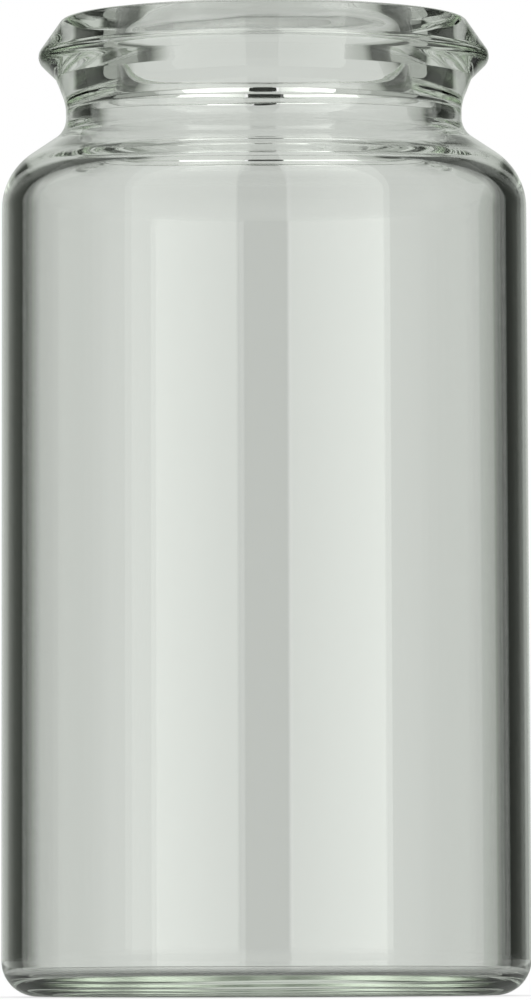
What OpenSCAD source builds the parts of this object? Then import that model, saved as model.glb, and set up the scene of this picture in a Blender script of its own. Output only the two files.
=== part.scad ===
// Glass sample vial: a short, wide-mouthed bottle that a snap cap clips onto.
// The whole vial is one piece of blown glass: flat base with a round heel, straight wall,
// round shoulder, short waisted neck, and a wedge-shaped bead round the lip.
// Millimetres, +Z up. The origin is the centre of the base, and the axis is Z.

/* [Body] */
// Height from the base to the top of the lip
vial_h = 48; // [30:0.5:110]
// Outer diameter of the body
body_d = 26; // [24:0.5:50]
// How much the body's outer radius falls from its foot to its shoulder
body_taper = 0.1; // [0:0.05:0.3]
// Wall of the body
wall = 1; // [0.6:0.05:2]

/* [Base] */
// Thickness of the base
base_t = 1.2; // [0.6:0.05:4]
// Radius of the heel, where the wall turns under to the base
heel_r = 1.75; // [0.4:0.05:4]
// Radius of the inside corner between the wall and the floor
floor_corner_r = 0.4; // [0.3:0.05:4]

/* [Shoulder] */
// Angle at which the shoulder climbs from the wall to the neck, above horizontal
shoulder_rise = 34; // [15:1:50]
// Radius of the outside corner between the wall and the shoulder
shoulder_r = 3.2; // [2.2:0.1:5]
// Thickness of the glass at the foot of the shoulder
shoulder_t = 1.1; // [0.6:0.05:1.6]
// How much more steeply the inside of the shoulder climbs than its outside, in degrees
roof_extra = 1.5; // [0:0.5:4]
// Radius of the inside corner between the wall and the shoulder
roof_r = 1.9; // [0.5:0.1:3]

/* [Neck] */
// Outer diameter of the neck at its waist
waist_d = 19.5; // [18:0.1:21]
// Inner diameter of the neck
neck_bore_d = 17; // [15.6:0.1:17.4]
// Height of the straight waist, from the shoulder to the flare
waist_h = 1.35; // [0.6:0.05:8]
// Height of the flare between the waist and the bead
flare_h = 1.25; // [0.6:0.05:4]
// How far the neck flares out by the time it meets the bead, on the radius
flare_out = 0.5; // [0.1:0.05:0.6]
// Radius between the shoulder and the neck, outside
neck_root_r = 1.25; // [0.3:0.05:2]
// Radius between the shoulder and the neck, inside
bore_root_r = 1.8; // [0.3:0.05:2]
// Radius between the waist and the flare
flare_root_r = 2.5; // [0.5:0.1:4]

/* [Lip] */
// Outer diameter of the bead at its crest, which a snap cap clips over
bead_d = 22.2; // [21.8:0.1:23.6]
// Depth of the crest below the top of the lip
crest_depth = 1.85; // [1.4:0.05:2.6]
// Radius of the crest
crest_r = 0.6; // [0.2:0.05:0.8]
// Slant of the bead's upper face, from the vertical
lead_angle = 35; // [15:0.5:40]
// Slant of the bead's underside, from the vertical
catch_angle = 46; // [35:1:60]
// Inner diameter of the lip, which a cap's plug fills
lip_bore_d = 15.3; // [13:0.1:15.5]
// Height of the lip's bore, from the top of the lip to the ledge below it
lip_bore_h = 4.05; // [2.4:0.05:5]
// Height of the ledge between the lip's bore and the neck's
ledge_h = 0.35; // [0.3:0.05:1]
// Radius of the fire-polished edges of the lip
lip_edge_r = 0.35; // [0.2:0.05:1]
// Radius at the ledge and under the bead
ledge_r = 0.1; // [0.1:0.05:0.6]

/* [Hidden] */
$fn = 144;
// Widest step along a rounded corner, in degrees
arc_step = 7.5;

body_r = body_d / 2;
shoulder_foot_r = body_r - body_taper;
inner_r = body_r - wall;
roof_foot_r = inner_r - body_taper;
waist_r = waist_d / 2;
neck_bore_r = neck_bore_d / 2;
lip_bore_r = lip_bore_d / 2;

// The bead's two faces would meet at the crest's corner, and its radius rounds that off
crest_half = (lead_angle + catch_angle) / 2;
crest_tilt = (lead_angle - catch_angle) / 2;
crest_z = vial_h - crest_depth + crest_r * sin(crest_tilt) / cos(crest_half);
crest_reach = bead_d / 2 - crest_r + crest_r * cos(crest_tilt) / cos(crest_half);
lip_top_r = crest_reach - (vial_h - crest_z) * tan(lead_angle);

// The bead stands on the flare, the flare on the waist, and the waist on the shoulder
flare_top_r = waist_r + flare_out;
bead_foot_z = crest_z - (crest_reach - flare_top_r) / tan(catch_angle);
flare_foot_z = bead_foot_z - flare_h;
neck_foot_z = flare_foot_z - waist_h;
shoulder_foot_z = neck_foot_z - (shoulder_foot_r - waist_r) * tan(shoulder_rise);

// Inside, the shoulder is a roof that follows its outside
roof_foot_z = shoulder_foot_z + wall * tan(shoulder_rise) - shoulder_t / cos(shoulder_rise);
roof_top_z = roof_foot_z + (roof_foot_r - neck_bore_r) * tan(shoulder_rise + roof_extra);
ledge_top_z = vial_h - lip_bore_h;

// Half of the section, one corner a line: radius from the axis, height, rounding
SECTION = [
    [0, 0, 0],
    [body_r, 0, heel_r],
    [shoulder_foot_r, shoulder_foot_z, shoulder_r],
    [waist_r, neck_foot_z, neck_root_r],
    [waist_r, flare_foot_z, flare_root_r],
    [flare_top_r, bead_foot_z, ledge_r],
    [crest_reach, crest_z, crest_r],
    [lip_top_r, vial_h, lip_edge_r],
    [lip_bore_r, vial_h, lip_edge_r],
    [lip_bore_r, ledge_top_z, ledge_r],
    [neck_bore_r, ledge_top_z - ledge_h, ledge_r],
    [neck_bore_r, roof_top_z, bore_root_r],
    [roof_foot_r, roof_foot_z, roof_r],
    [inner_r, base_t, floor_corner_r],
    [0, base_t, 0],
];

function point(corner) = [corner.x, corner.y];
function unit(v) = v / norm(v);
function next(corners, i, step) = corners[(i + step + len(corners)) % len(corners)];
function heading(corners, i) = unit(point(next(corners, i, 1)) - point(corners[i]));
function run(corners, i) = norm(point(next(corners, i, 1)) - point(corners[i]));

// Signed angle by which the outline turns at a corner
function turn(corners, i) =
    let (before = heading(corners, (i + len(corners) - 1) % len(corners)), after = heading(corners, i))
    atan2(before.x * after.y - before.y * after.x, before * after);

// How far a corner's rounding reaches along each side: as its radius asks, or as the two sides allow
function asked_reach(corners, i) = corners[i].z * abs(tan(turn(corners, i) / 2));
function share(corners, i) =
    let (asked = asked_reach(corners, i) + asked_reach(corners, (i + 1) % len(corners)))
    asked > run(corners, i) ? run(corners, i) / asked : 1;
function reach(corners, i) =
    asked_reach(corners, i) * min(share(corners, i), share(corners, (i + len(corners) - 1) % len(corners)));

// The points that round one corner, along an arc that touches both of its sides
function rounding(corners, i) =
    let (
        back = -heading(corners, (i + len(corners) - 1) % len(corners)),
        ahead = heading(corners, i),
        bend = turn(corners, i),
        radius = reach(corners, i) / abs(tan(bend / 2)),
        middle = point(corners[i]) + radius / cos(bend / 2) * unit(back + ahead),
        start = point(corners[i]) + reach(corners, i) * back - middle,
        steps = ceil(abs(bend) / arc_step)
    )
    [for (s = [0:steps]) let (a = bend * s / steps)
        middle + [start.x * cos(a) - start.y * sin(a), start.x * sin(a) + start.y * cos(a)]];

// The closed outline of a section whose corners are rounded, each by its own radius
function rounded(corners) =
    [for (i = [0:len(corners) - 1]) each corners[i].z > 0 ? rounding(corners, i) : [point(corners[i])]];

// The vial: its half section turned round the axis
module vial() {
    color([0.80, 0.86, 0.79, 0.45]) rotate_extrude() polygon(rounded(SECTION));
}

vial();
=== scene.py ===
"""Dresses the glass sample vial and stands it in a small studio.

The vial is one piece of glass, so one lathe makes it: its rounded section is turned round the
axis, and the marks that forming leaves are pressed into the surface on the way. The studio is a
pale floor, a ring of upright panels and a roof, which is what clear glass needs to look like glass.
Lengths are millimetres in the dataclasses and metres in Blender.
"""

from __future__ import annotations

import logging
import math
from dataclasses import dataclass, field
from typing import Any, Iterator

import bpy
from mathutils import Matrix, Vector


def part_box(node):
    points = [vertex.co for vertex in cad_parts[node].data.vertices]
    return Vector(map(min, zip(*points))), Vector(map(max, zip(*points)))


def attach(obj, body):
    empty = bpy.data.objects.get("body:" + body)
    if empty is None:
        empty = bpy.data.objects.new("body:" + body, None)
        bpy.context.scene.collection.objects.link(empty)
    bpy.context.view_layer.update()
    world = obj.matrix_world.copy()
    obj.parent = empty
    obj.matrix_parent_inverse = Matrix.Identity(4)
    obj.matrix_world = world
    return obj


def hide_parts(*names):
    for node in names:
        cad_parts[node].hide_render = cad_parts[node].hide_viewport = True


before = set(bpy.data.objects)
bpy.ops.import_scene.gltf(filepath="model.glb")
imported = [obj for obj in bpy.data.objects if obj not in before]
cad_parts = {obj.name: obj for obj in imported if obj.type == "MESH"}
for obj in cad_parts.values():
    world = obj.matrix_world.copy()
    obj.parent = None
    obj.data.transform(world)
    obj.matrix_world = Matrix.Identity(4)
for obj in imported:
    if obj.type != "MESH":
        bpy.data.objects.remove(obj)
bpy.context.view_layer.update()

LOG = logging.getLogger("vial")
MM = 0.001
MARKS = ("ripple", "sag", "side")


# ---------------------------------------------------------------------------------------------
# Node building
# ---------------------------------------------------------------------------------------------


class Sum:
    """A number in a node tree, so that shader and geometry maths reads as an expression."""

    def __init__(self, tree: "Tree", socket: bpy.types.NodeSocket) -> None:
        """Wraps one output socket of a tree."""
        self.tree = tree
        self.socket = socket

    def _math(self, operation: str, *values: "Sum | float") -> "Sum":
        """Adds a Math node that works on this number and others."""
        return self.tree.number("ShaderNodeMath", {"operation": operation}, dict(enumerate(values)))

    def __add__(self, other: "Sum | float") -> "Sum":
        """Adds."""
        return self._math("ADD", self, other)

    def __radd__(self, other: float) -> "Sum":
        """Adds, with the plain number first."""
        return self._math("ADD", other, self)

    def __sub__(self, other: "Sum | float") -> "Sum":
        """Takes away."""
        return self._math("SUBTRACT", self, other)

    def __rsub__(self, other: float) -> "Sum":
        """Takes this number from a plain one."""
        return self._math("SUBTRACT", other, self)

    def __mul__(self, other: "Sum | float") -> "Sum":
        """Multiplies."""
        return self._math("MULTIPLY", self, other)

    def __rmul__(self, other: float) -> "Sum":
        """Multiplies, with the plain number first."""
        return self._math("MULTIPLY", other, self)

    def __truediv__(self, other: "Sum | float") -> "Sum":
        """Divides."""
        return self._math("DIVIDE", self, other)

    def sine(self) -> "Sum":
        """The sine of an angle in radians."""
        return self._math("SINE", self)

    def cosine(self) -> "Sum":
        """The cosine of an angle in radians."""
        return self._math("COSINE", self)

    def rounded(self) -> "Sum":
        """The nearest whole number."""
        return self._math("ROUND", self)

    def at_most(self, other: "Sum | float") -> "Sum":
        """The smaller of two numbers."""
        return self._math("MINIMUM", self, other)


class Tree:
    """Adds nodes to one node tree, shader or geometry."""

    def __init__(self, tree: bpy.types.NodeTree) -> None:
        """Takes the tree that the nodes go in."""
        self.tree = tree

    def add(self, kind: str, settings: dict[str, Any] | None = None,
            inputs: dict[str | int, Any] | None = None) -> bpy.types.Node:
        """Adds one node.

        Args:
            kind: The node's type.
            settings: Properties to set first.
            inputs: Values, sockets or Sums for its input sockets, by name or number.

        Returns:
            The new node.
        """
        node = self.tree.nodes.new(kind)
        for name, value in (settings or {}).items():
            setattr(node, name, value)
        for name, value in (inputs or {}).items():
            socket = node.inputs[name]
            source = value.socket if isinstance(value, Sum) else value
            if isinstance(source, bpy.types.NodeSocket):
                self.tree.links.new(source, socket)
            else:
                socket.default_value = source
        return node

    def number(self, kind: str, settings: dict[str, Any] | None = None,
               inputs: dict[str | int, Any] | None = None, output: str | int = 0) -> Sum:
        """Adds a node and wraps one of its outputs as a number."""
        return Sum(self, self.add(kind, settings, inputs).outputs[output])


# ---------------------------------------------------------------------------------------------
# The section of the vial
# ---------------------------------------------------------------------------------------------


@dataclass(frozen=True)
class Corner:
    """One corner of the section: its distance from the axis, its height, and its rounding."""

    out: float
    up: float
    rounding: float = 0.0

    @property
    def point(self) -> Vector:
        """The corner's place in the plane of the section."""
        return Vector((self.out, self.up))


@dataclass
class Section:
    """Half of the vial's section, in millimetres, from the centre of its base round to its floor."""

    body_r: float
    height: float
    body_taper: float = 0.1
    wall: float = 1.0
    base_t: float = 1.2
    heel_r: float = 1.75
    floor_corner_r: float = 0.4
    shoulder_rise: float = math.radians(34)
    shoulder_r: float = 3.2
    shoulder_t: float = 1.1
    roof_extra: float = math.radians(1.5)
    roof_r: float = 1.9
    waist_r: float = 9.75
    neck_bore_r: float = 8.5
    waist_h: float = 1.35
    flare_h: float = 1.25
    flare_out: float = 0.5
    neck_root_r: float = 1.25
    bore_root_r: float = 1.8
    flare_root_r: float = 2.5
    bead_r: float = 11.1
    crest_depth: float = 1.85
    crest_r: float = 0.6
    lead_angle: float = math.radians(35)
    catch_angle: float = math.radians(46)
    lip_bore_r: float = 7.65
    lip_bore_h: float = 4.05
    ledge_h: float = 0.35
    lip_edge_r: float = 0.35
    ledge_r: float = 0.1

    @property
    def inner_r(self) -> float:
        """Inner radius of the body at its foot."""
        return self.body_r - self.wall

    @property
    def crest(self) -> Corner:
        """The corner at which the bead's two faces would meet.

        Returns:
            The corner, placed so that its rounding comes out to the bead's radius at the crest.
        """
        half = (self.lead_angle + self.catch_angle) / 2
        tilt = (self.lead_angle - self.catch_angle) / 2
        return Corner(
            self.bead_r - self.crest_r + self.crest_r * math.cos(tilt) / math.cos(half),
            self.height - self.crest_depth + self.crest_r * math.sin(tilt) / math.cos(half),
            self.crest_r,
        )

    @property
    def bead_foot_z(self) -> float:
        """Height at which the bead's underside meets the neck's flare."""
        return self.crest.up - (self.crest.out - self.waist_r - self.flare_out) / math.tan(self.catch_angle)

    @property
    def neck_foot_z(self) -> float:
        """Height at which the neck meets the shoulder."""
        return self.bead_foot_z - self.flare_h - self.waist_h

    @property
    def shoulder_foot_z(self) -> float:
        """Height at which the shoulder meets the wall."""
        run = self.body_r - self.body_taper - self.waist_r
        return self.neck_foot_z - run * math.tan(self.shoulder_rise)

    def corners(self) -> list[Corner]:
        """The section's corners, outside first, anticlockwise.

        Returns:
            The corners, from the axis under the base round to the axis on the floor.
        """
        drop = self.shoulder_t / math.cos(self.shoulder_rise) - self.wall * math.tan(self.shoulder_rise)
        roof_foot = Corner(self.inner_r - self.body_taper, self.shoulder_foot_z - drop, self.roof_r)
        roof_climb = (roof_foot.out - self.neck_bore_r) * math.tan(self.shoulder_rise + self.roof_extra)
        ledge_z = self.height - self.lip_bore_h
        lip_top_r = self.crest.out - (self.height - self.crest.up) * math.tan(self.lead_angle)
        return [
            Corner(0, 0),
            Corner(self.body_r, 0, self.heel_r),
            Corner(self.body_r - self.body_taper, self.shoulder_foot_z, self.shoulder_r),
            Corner(self.waist_r, self.neck_foot_z, self.neck_root_r),
            Corner(self.waist_r, self.bead_foot_z - self.flare_h, self.flare_root_r),
            Corner(self.waist_r + self.flare_out, self.bead_foot_z, self.ledge_r),
            self.crest,
            Corner(lip_top_r, self.height, self.lip_edge_r),
            Corner(self.lip_bore_r, self.height, self.lip_edge_r),
            Corner(self.lip_bore_r, ledge_z, self.ledge_r),
            Corner(self.neck_bore_r, ledge_z - self.ledge_h, self.ledge_r),
            Corner(self.neck_bore_r, roof_foot.up + roof_climb, self.bore_root_r),
            roof_foot,
            Corner(self.inner_r, self.base_t, self.floor_corner_r),
            Corner(0, self.base_t),
        ]


@dataclass(frozen=True)
class Outline:
    """Turns a section's corners into closely spaced points, with arcs where corners are rounded."""

    arc_step: float = math.radians(4)
    fine_step: float = 0.25
    coarse_step: float = 1.2
    fine_above: float = 36.0
    fine_below: float = 2.4

    def points(self, corners: list[Corner]) -> list[Vector]:
        """Lists the outline's points in order.

        Args:
            corners: The corners, from the axis round to the axis.

        Returns:
            Points in the plane of the section, in millimetres.
        """
        stretches: list[list[Vector]] = [[corners[0].point]]
        for before, corner, after in zip(corners, corners[1:], corners[2:]):
            stretches.append(list(self._rounding(before, corner, after)))
        stretches.append([corners[-1].point])
        points: list[Vector] = []
        for arc, following in zip(stretches, stretches[1:]):
            points += arc
            points += self._straight(arc[-1], following[0])
        return points + stretches[-1]

    def _rounding(self, before: Corner, corner: Corner, after: Corner) -> Iterator[Vector]:
        """Yields the points of the arc that touches both sides of a corner.

        Args:
            before: The corner before it.
            corner: The corner to round.
            after: The corner after it.

        Yields:
            Points from one end of the arc to the other.
        """
        back = (before.point - corner.point).normalized()
        ahead = (after.point - corner.point).normalized()
        bend = math.atan2(-back.x * ahead.y + back.y * ahead.x, -back.dot(ahead))
        reach = corner.rounding * abs(math.tan(bend / 2))
        middle = corner.point + corner.rounding / math.cos(bend / 2) * (back + ahead).normalized()
        start = corner.point + reach * back - middle
        steps = max(2, math.ceil(abs(bend) / self.arc_step))
        for step in range(steps + 1):
            yield middle + Matrix.Rotation(bend * step / steps, 2) @ start

    def _straight(self, start: Vector, end: Vector) -> list[Vector]:
        """Lists the points strictly between the ends of a straight stretch.

        Args:
            start: Where the stretch starts.
            end: Where it ends.

        Returns:
            Points a fine step apart in the neck and the base, and a coarse step apart in the wall.
        """
        fine = min(start.y, end.y) > self.fine_above or max(start.y, end.y) < self.fine_below
        steps = math.ceil((end - start).length / (self.fine_step if fine else self.coarse_step))
        return [start.lerp(end, step / steps) for step in range(1, steps)]


# ---------------------------------------------------------------------------------------------
# Finishes
# ---------------------------------------------------------------------------------------------


@dataclass(frozen=True)
class ClearGlass:
    """Soda-lime glass: clear, with a faint green that only shows along its thick parts."""

    slot: str = "glass"
    ior: float = 1.52
    roughness: float = 0.0
    tint: tuple[float, float, float] = (0.62, 1.0, 0.42)
    absorption_per_mm: float = 0.0035

    def material(self) -> bpy.types.Material:
        """Builds the material.

        Returns:
            Clear glass with its faint green in the volume.
        """
        material = bpy.data.materials.new("clear_glass")
        material.use_nodes = True
        tree = Tree(material.node_tree)
        material.node_tree.nodes.clear()
        shader = tree.add("ShaderNodeBsdfPrincipled", None, {
            "Base Color": (1.0, 1.0, 1.0, 1.0),
            "Roughness": self.roughness,
            "IOR": self.ior,
            "Transmission Weight": 1.0,
        })
        volume = tree.add("ShaderNodeVolumeAbsorption", None, {
            "Color": (*self.tint, 1.0),
            "Density": self.absorption_per_mm / MM,
        })
        tree.add("ShaderNodeOutputMaterial", None, {
            "Surface": shader.outputs["BSDF"],
            "Volume": volume.outputs["Volume"],
        })
        return material


@dataclass(frozen=True)
class Glow:
    """The face of a studio panel, lit to a level that each vertex of the panel carries.

    Its colour goes from the dark one to the light one, which it has from the light level on.
    """

    dark: tuple[float, float, float] = (0.90, 1.0, 0.85)
    light: tuple[float, float, float] = (0.96, 1.0, 0.945)
    light_level: float = 0.6

    def material(self) -> bpy.types.Material:
        """Builds the material.

        Returns:
            A plain emission that reads its level from the mesh.
        """
        material = bpy.data.materials.new("panel_glow")
        material.use_nodes = True
        material.node_tree.nodes.clear()
        tree = Tree(material.node_tree)
        level = tree.number("ShaderNodeAttribute", {"attribute_name": "glow"}, None, "Fac")
        colour = tree.add("ShaderNodeMixRGB", None, {
            "Fac": (level / self.light_level).at_most(1.0),
            "Color1": (*self.dark, 1.0), "Color2": (*self.light, 1.0)})
        light = tree.add("ShaderNodeEmission", None, {"Color": colour.outputs["Color"], "Strength": level})
        tree.add("ShaderNodeOutputMaterial", None, {"Surface": light.outputs["Emission"]})
        return material


@dataclass(frozen=True)
class PaleFloor:
    """A pale matt floor that the camera sees as plain white, with a painted soft shadow where the vial
    stands.

    To the glass it fades away from the vial, and what shows there is the foot of the panels.
    """

    albedo: float = 0.8
    # The painted shadow: how much it darkens the white, how far its occlusion reaches, and its samples.
    shade: float = 0.3
    shade_reach: float = 3.0
    shade_samples: int = 8
    fade_r: float = 20.0
    open_r: float = 250.0

    def material(self) -> bpy.types.Material:
        """Builds the material.

        Returns:
            White with a painted contact shadow to the camera, and a matt surface that fades out to the
            glass.
        """
        material = bpy.data.materials.new("pale_floor")
        material.use_nodes = True
        material.node_tree.nodes.clear()
        tree = Tree(material.node_tree)
        place = tree.add("ShaderNodeTexCoord").outputs["Object"]
        distance = tree.number("ShaderNodeVectorMath", {"operation": "LENGTH"}, {0: place}, "Value")
        away = tree.number("ShaderNodeMapRange", {"interpolation_type": "SMOOTHSTEP"}, {
            "Value": distance, "From Min": self.fade_r * MM, "From Max": self.open_r * MM})
        # Painted shadow: an occlusion node, not the lamps, darkens the camera's white near the vial.
        openness = tree.number("ShaderNodeAmbientOcclusion", {"samples": self.shade_samples}, {
            "Distance": self.shade_reach * MM}, "AO")
        path = tree.add("ShaderNodeLightPath")
        through = Sum(tree, path.outputs["Is Glossy Ray"]) + Sum(tree, path.outputs["Is Transmission Ray"])
        matt = tree.add("ShaderNodeBsdfDiffuse", None, {"Color": (self.albedo,) * 3 + (1.0,)})
        white = tree.add("ShaderNodeEmission", None, {"Strength": 1.0 - self.shade * (1.0 - openness)})
        clear = tree.add("ShaderNodeBsdfTransparent")
        seen = tree.add("ShaderNodeMixShader", None, {
            0: path.outputs["Is Camera Ray"], 1: matt.outputs["BSDF"], 2: white.outputs["Emission"]})
        mix = tree.add("ShaderNodeMixShader", None, {
            0: away * through.at_most(1.0), 1: seen.outputs["Shader"], 2: clear.outputs["BSDF"]})
        tree.add("ShaderNodeOutputMaterial", None, {"Surface": mix.outputs["Shader"]})
        return material


# ---------------------------------------------------------------------------------------------
# The vial
# ---------------------------------------------------------------------------------------------


@dataclass
class Lathe:
    """A Geometry Nodes lathe: turns a section's points round the axis and presses marks into it.

    The marks are noise, whose scales are per metre: the ripple is drawn out round the vial, and the
    sag is broad. The side shift gives the inside other marks than the outside.
    """

    segments: int = 232
    merge_distance: float = 0.001
    seed: float = 3.0
    ripple_stretch: tuple[float, float, float] = (90.0, 90.0, 1000.0)
    ripple_scale: float = 1.6
    ripple_detail: float = 2.0
    ripple_roughness: float = 0.5
    ripple_side_shift: float = 7.0
    sag_scale: float = 60.0
    sag_detail: float = 1.0
    sag_side_shift: float = 5.0

    def tree(self) -> bpy.types.GeometryNodeTree:
        """Builds the node tree.

        Returns:
            The tree, whose named inputs are the section, its segments and its material.
        """
        group = bpy.data.node_groups.new("vial_lathe", "GeometryNodeTree")
        group.is_modifier = True
        face = group.interface
        face.new_socket("Section", in_out="INPUT", socket_type="NodeSocketGeometry")
        for name, kind in (("Segments", "NodeSocketInt"), ("Ripple Depth", "NodeSocketFloat"),
                           ("Sag Depth", "NodeSocketFloat"), ("Glass", "NodeSocketMaterial")):
            face.new_socket(name, in_out="INPUT", socket_type=kind)
        face.new_socket("Vial", in_out="OUTPUT", socket_type="NodeSocketGeometry")
        tree = Tree(group)
        given = tree.add("NodeGroupInput").outputs
        rows = tree.number("GeometryNodeAttributeDomainSize", {"component": "MESH"},
                           {"Geometry": given["Section"]}, "Point Count")
        segments = Sum(tree, given["Segments"])
        grid = tree.add("GeometryNodeMeshGrid", None, {
            "Size X": rows - 1.0, "Size Y": 1.0, "Vertices X": rows, "Vertices Y": segments + 1.0})
        # The grid is centred, with a step of one from row to row and a width of one right round.
        spot = tree.add("ShaderNodeSeparateXYZ", None, {0: tree.add("GeometryNodeInputPosition").outputs[0]})
        row = (Sum(tree, spot.outputs["X"]) + (rows - 1.0) * 0.5).rounded()
        angle = (Sum(tree, spot.outputs["Y"]) + 0.5) * math.tau

        def sampled(kind: str, value: bpy.types.NodeSocket) -> bpy.types.NodeSocket:
            """Reads a value of the section at this row.

            Args:
                kind: The value's data type.
                value: The value on the section's points.

            Returns:
                The value on the grid's points.
            """
            return tree.add("GeometryNodeSampleIndex", {"data_type": kind, "domain": "POINT"}, {
                "Geometry": given["Section"], "Value": value, "Index": row}).outputs["Value"]

        def named(kind: str, name: str) -> bpy.types.NodeSocket:
            """Reads one of the section's attributes."""
            node = tree.add("GeometryNodeInputNamedAttribute", {"data_type": kind}, {"Name": name})
            return node.outputs[0]

        def turned(vector: bpy.types.NodeSocket) -> bpy.types.NodeSocket:
            """Turns a vector of the section round the axis to this column.

            Args:
                vector: A vector in the plane of the section.

            Returns:
                The vector at this column's angle.
            """
            parts = tree.add("ShaderNodeSeparateXYZ", None, {0: vector}).outputs
            out = Sum(tree, parts["X"])
            return tree.add("ShaderNodeCombineXYZ", None, {
                "X": out * angle.cosine(), "Y": out * angle.sine(), "Z": parts["Z"]}).outputs[0]

        place = turned(sampled("FLOAT_VECTOR", tree.add("GeometryNodeInputPosition").outputs[0]))
        outward = turned(sampled("FLOAT_VECTOR", named("FLOAT_VECTOR", "outward")))
        marks = {name: Sum(tree, sampled("FLOAT", named("FLOAT", name))) for name in MARKS}
        across = tree.add("ShaderNodeVectorMath", {"operation": "MULTIPLY"}, {
            0: place, 1: self.ripple_stretch})
        ripple = tree.number("ShaderNodeTexNoise", {"noise_dimensions": "4D"}, {
            "Vector": across.outputs[0], "W": marks["side"] * self.ripple_side_shift + self.seed,
            "Scale": self.ripple_scale, "Detail": self.ripple_detail, "Roughness": self.ripple_roughness})
        sag = tree.number("ShaderNodeTexNoise", {"noise_dimensions": "4D"}, {
            "Vector": place, "W": marks["side"] * self.sag_side_shift + self.seed,
            "Scale": self.sag_scale, "Detail": self.sag_detail})
        push = marks["ripple"] * Sum(tree, given["Ripple Depth"]) * ripple \
            + marks["sag"] * Sum(tree, given["Sag Depth"]) * sag
        offset = tree.add("ShaderNodeVectorMath", {"operation": "SCALE"}, {0: outward, "Scale": push * -1.0})
        moved = tree.add("ShaderNodeVectorMath", {"operation": "ADD"}, {0: place, 1: offset.outputs[0]})
        shaped = tree.add("GeometryNodeSetPosition", None, {
            "Geometry": grid.outputs["Mesh"], "Position": moved.outputs[0]})
        closed = tree.add("GeometryNodeMergeByDistance", None, {
            "Geometry": shaped.outputs[0], "Distance": self.merge_distance * MM})
        outside = tree.add("GeometryNodeFlipFaces", None, {"Mesh": closed.outputs[0]})
        smooth = tree.add("GeometryNodeSetShadeSmooth", None, {"Geometry": outside.outputs[0]})
        real = tree.add("GeometryNodeRealizeInstances", None, {"Geometry": smooth.outputs[0]})
        dressed = tree.add("GeometryNodeSetMaterial", None, {
            "Geometry": real.outputs[0], "Material": given["Glass"]})
        tree.add("NodeGroupOutput", None, {0: dressed.outputs[0]})
        return group


@dataclass
class Vial:
    """The whole vial: one piece of clear glass."""

    section: Section
    finish: ClearGlass = field(default_factory=ClearGlass)
    outline: Outline = field(default_factory=Outline)
    lathe: Lathe = field(default_factory=Lathe)
    ripple_depth: float = 0.03
    sag_depth: float = 0.12
    sag_fade: float = 1.5
    floor_margin: float = 0.01

    @classmethod
    def from_frame(cls) -> "Vial":
        """Sizes the vial from its place in the frame."""
        low, high = (Vector(corner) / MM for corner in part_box("vial"))
        return cls(Section(body_r=(high.x - low.x) / 2, height=high.z - low.z))

    def build(self) -> bpy.types.Object:
        """Makes the glass and puts it in the place of the vial's plain solid.

        Returns:
            The finished piece.
        """
        blank = self._section_object()
        group = self.lathe.tree()
        modifier = blank.modifiers.new("lathe", "NODES")
        modifier.node_group = group
        values = {"Segments": self.lathe.segments, "Ripple Depth": self.ripple_depth * MM,
                  "Sag Depth": self.sag_depth * MM, "Glass": self.finish.material()}
        for item in group.interface.items_tree:
            if item.item_type == "SOCKET" and item.in_out == "INPUT" and item.name in values:
                modifier[item.identifier] = values[item.name]
        graph = bpy.context.evaluated_depsgraph_get()
        mesh = bpy.data.meshes.new_from_object(blank.evaluated_get(graph), depsgraph=graph)
        blank.modifiers.remove(modifier)
        bpy.data.objects.remove(blank)
        mesh.name = "vial_glass"
        for name in ("outward", *MARKS):
            if name in mesh.attributes:
                mesh.attributes.remove(mesh.attributes[name])
        glass = bpy.data.objects.new("vial_glass", mesh)
        bpy.context.scene.collection.objects.link(glass)
        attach(glass, "root")
        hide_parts("vial")
        return glass

    def _section_object(self) -> bpy.types.Object:
        """Makes the section as a chain of vertices that carry how strongly each mark shows there.

        Returns:
            The object that holds the chain.
        """
        points = self.outline.points(self.section.corners())
        mesh = bpy.data.meshes.new("section")
        edges = [(number, number + 1) for number in range(len(points) - 1)]
        mesh.from_pydata([(p.x * MM, 0.0, p.y * MM) for p in points], edges, [])
        mesh.attributes.new("outward", "FLOAT_VECTOR", "POINT")
        for name in MARKS:
            mesh.attributes.new(name, "FLOAT", "POINT")
        marks = mesh.attributes
        # The section turns to the inside at the innermost of its highest points.
        turn = points.index(max(points, key=lambda p: (p.y, -p.x)))
        for number, point in enumerate(points):
            ahead = points[min(number + 1, len(points) - 1)] - points[max(number - 1, 0)]
            ahead.normalize()
            marks["outward"].data[number].vector = (ahead.y, 0.0, -ahead.x)
            marks["ripple"].data[number].value = self._ripple_at(point)
            marks["sag"].data[number].value = self._sag_at(point, number > turn)
            marks["side"].data[number].value = float(number > turn)
        blank = bpy.data.objects.new("section", mesh)
        bpy.context.scene.collection.objects.link(blank)
        return blank

    def _ripple_at(self, point: Vector) -> float:
        """How strongly the neck's forming marks show at a point of the section."""
        low, full = self.section.shoulder_foot_z, self.section.neck_foot_z
        return min(1.0, max(0.0, (point.y - low) / (full - low)))

    def _sag_at(self, point: Vector, inside: bool) -> float:
        """How unevenly the glass lies at a point of the section: only on the floor, clear of its edge.

        Args:
            point: The point in the plane of the section.
            inside: Whether it lies on the inside.

        Returns:
            A strength from 0 to 1.
        """
        if not inside or point.y > self.section.base_t + self.floor_margin:
            return 0.0
        edge = self.section.inner_r - self.section.floor_corner_r
        return min(1.0, max(0.0, (edge - point.x) / self.sag_fade))


# ---------------------------------------------------------------------------------------------
# The studio
# ---------------------------------------------------------------------------------------------


@dataclass(frozen=True)
class Panel:
    """One upright panel of the ring, bowed round the vial.

    Bearings are degrees from the far side of the vial, clockwise seen from above, so 180 is the camera.
    """

    name: str
    start: float
    end: float
    glow_start: float
    glow_end: float
    low: float = -400.0
    high: float = 2600.0


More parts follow.
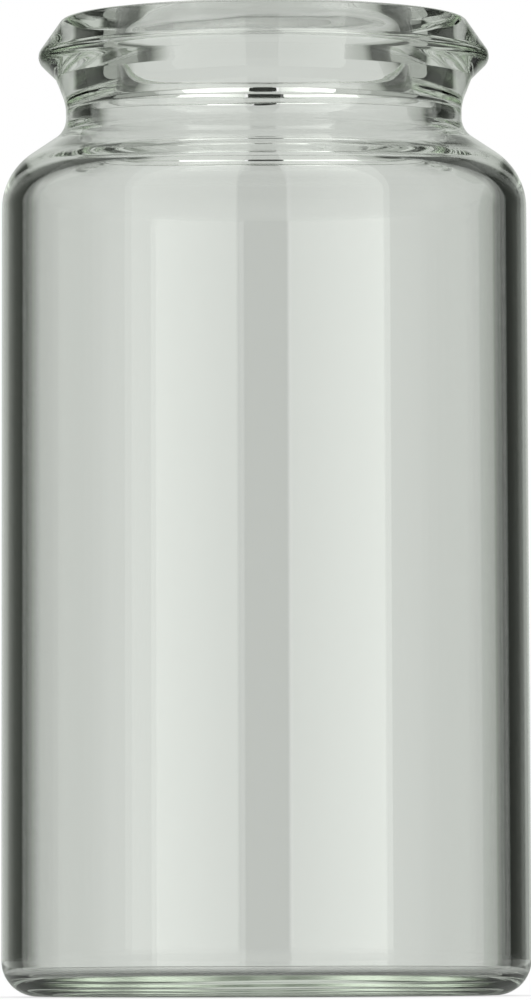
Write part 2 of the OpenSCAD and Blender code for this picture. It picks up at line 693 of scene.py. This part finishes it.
PANELS = (
    Panel("backdrop", -14.5, 11, 0.63, 0.63),
    Panel("backdrop_left_edge", -22.5, -14.5, 0.08, 0.61),
    Panel("backdrop_right_step", 11, 15.5, 0.55, 0.42),
    Panel("backdrop_right_edge", 15.5, 19, 0.42, 0.05),
    Panel("left_flag", -58, -22.5, 0.01, 0.08),
    Panel("right_flag", 19, 54, 0.05, 0.01),
    Panel("left_side", -95, -58, 0.32, 0.32),
    Panel("left_wing", -117, -95, 0.80, 0.50),
    Panel("left_softbox", -168, -117, 1.10, 1.60),
    Panel("camera_gap_left", -180, -168, 0.02, 0.02),
    Panel("camera_gap_right", 170, 180, 0.02, 0.02),
    Panel("right_softbox", 124, 168, 1.90, 0.80),
    Panel("right_wing", 95, 124, 0.55, 0.50),
    Panel("right_side", 54, 95, 0.38, 0.38),
)


@dataclass
class Studio:
    """The floor, the ring of panels, the roof and the sky round the vial."""

    ring_r: float = 900.0
    columns_per_degree: float = 0.5
    roof_glow: float = 0.35
    roof_far: float = 1500.0
    roof_near: float = 2600.0
    roof_sides: int = 48
    floor_r: float = 1500.0
    floor_gap: float = 0.03
    floor_sides: int = 96
    sky_light: float = 0.9
    light_bounces: int = 48

    def build(self) -> None:
        """Makes the studio and sets how many times light may bounce in it."""
        cycles = bpy.context.scene.cycles
        cycles.max_bounces = cycles.glossy_bounces = cycles.transmission_bounces = self.light_bounces
        glow = Glow().material()
        for panel in PANELS:
            self._panel(panel, glow)
        self._roof(glow)
        self._floor()
        self._sky()

    def _stage(self, name: str, mesh: bpy.types.Mesh, material: bpy.types.Material, seen: bool) -> None:
        """Adds a piece of staging to the scene.

        Args:
            name: The piece's name.
            mesh: Its mesh.
            material: Its finish.
            seen: Whether the camera sees it and it casts a shadow.
        """
        mesh.materials.append(material)
        piece = bpy.data.objects.new(name, mesh)
        bpy.context.scene.collection.objects.link(piece)
        piece.visible_camera = seen
        piece.visible_shadow = seen

    def _panel(self, panel: Panel, material: bpy.types.Material) -> None:
        """Makes one upright panel, whose glow runs evenly from one edge to the other.

        Args:
            panel: Its place and its levels.
            material: The panels' finish.
        """
        columns = max(2, math.ceil((panel.end - panel.start) * self.columns_per_degree))
        vertices, levels = [], []
        for column in range(columns + 1):
            share = column / columns
            bearing = math.radians(panel.start + (panel.end - panel.start) * share)
            for height in (panel.low, panel.high):
                vertices.append((math.sin(bearing) * self.ring_r * MM, math.cos(bearing) * self.ring_r * MM,
                                 height * MM))
                levels.append(panel.glow_start + (panel.glow_end - panel.glow_start) * share)
        faces = [(2 * n, 2 * n + 1, 2 * n + 3, 2 * n + 2) for n in range(columns)]
        mesh = self._glowing_mesh(panel.name, vertices, faces, levels)
        self._stage(panel.name, mesh, material, seen=False)

    def _roof(self, material: bpy.types.Material) -> None:
        """Makes the roof, a disc of even glow that slopes up towards the camera.

        Args:
            material: The panels' finish.
        """
        middle, slope = (self.roof_near + self.roof_far) / 2, (self.roof_near - self.roof_far) / 2
        ring = []
        for number in range(self.roof_sides):
            angle = math.tau * number / self.roof_sides
            x, y = self.ring_r * math.sin(angle), self.ring_r * math.cos(angle)
            ring.append((x * MM, y * MM, (middle - slope * y / self.ring_r) * MM))
        face = tuple(range(self.roof_sides))
        mesh = self._glowing_mesh("roof", ring, [face], [self.roof_glow] * self.roof_sides)
        self._stage("roof", mesh, material, seen=False)

    @staticmethod
    def _glowing_mesh(name: str, vertices: list[tuple[float, float, float]], faces: list[tuple[int, ...]],
                      levels: list[float]) -> bpy.types.Mesh:
        """Makes a mesh whose vertices carry their glow.

        Args:
            name: The mesh's name.
            vertices: Places in metres.
            faces: Vertex numbers of each face.
            levels: The glow of each vertex.

        Returns:
            The mesh.
        """
        mesh = bpy.data.meshes.new(name)
        mesh.from_pydata(vertices, [], faces)
        glow = mesh.attributes.new("glow", "FLOAT", "POINT")
        for number, level in enumerate(levels):
            glow.data[number].value = level
        return mesh

    def _floor(self) -> None:
        """Makes the floor, a wide disc under the vial."""
        mesh = bpy.data.meshes.new("floor")
        ring = []
        for number in range(self.floor_sides):
            angle = math.tau * number / self.floor_sides
            x, y = self.floor_r * math.cos(angle), self.floor_r * math.sin(angle)
            ring.append((x * MM, y * MM, -self.floor_gap * MM))
        mesh.from_pydata(ring, [], [tuple(range(self.floor_sides))])
        self._stage("floor", mesh, PaleFloor().material(), seen=True)

    def _sky(self) -> None:
        """Lights the world: plain white where the camera or the glass looks past the studio."""
        world = bpy.data.worlds.new("studio_white")
        world.use_nodes = True
        world.node_tree.nodes.clear()
        tree = Tree(world.node_tree)
        path = tree.add("ShaderNodeLightPath")
        seen = Sum(tree, path.outputs["Is Camera Ray"]) + Sum(tree, path.outputs["Is Glossy Ray"]) \
            + Sum(tree, path.outputs["Is Transmission Ray"])
        level = self.sky_light + (1.0 - self.sky_light) * seen.at_most(1.0)
        back = tree.add("ShaderNodeBackground", None, {"Color": (1.0, 1.0, 1.0, 1.0), "Strength": level})
        tree.add("ShaderNodeOutputWorld", None, {"Surface": back.outputs["Background"]})
        bpy.context.scene.world = world


@dataclass
class Camera:
    """A long lens low down in front of the vial, tipped up a little."""

    distance: float = 428.6
    eye_z: float = 2.77
    pitch: float = math.radians(2.878)
    yaw: float = math.radians(-0.003)
    roll: float = math.radians(-0.18)
    lens: float = 314.45
    sensor_width: float = 36.0
    nearest: float = 10.0
    farthest: float = 10000.0

    def build(self) -> None:
        """Makes the camera and hands it to the scene."""
        data = bpy.data.cameras.new("camera")
        data.lens = self.lens
        data.sensor_width = self.sensor_width
        data.clip_start = self.nearest * MM
        data.clip_end = self.farthest * MM
        camera = bpy.data.objects.new("camera", data)
        bpy.context.scene.collection.objects.link(camera)
        aim = Matrix.Rotation(self.yaw, 4, "Z") @ Matrix.Rotation(math.pi / 2 + self.pitch, 4, "X")
        camera.matrix_world = Matrix.Translation((0.0, -self.distance * MM, self.eye_z * MM)) @ aim \
            @ Matrix.Rotation(self.roll, 4, "Z")
        bpy.context.scene.camera = camera


def main() -> None:
    """Builds the camera, the studio and the vial."""
    logging.basicConfig(level=logging.INFO, format="%(message)s")
    bpy.context.scene.view_settings.view_transform = "Standard"
    Camera().build()
    Studio().build()
    glass = Vial.from_frame().build()
    LOG.info("%s: %d faces", glass.name, len(glass.data.polygons))


if __name__ == "__main__":
    main()
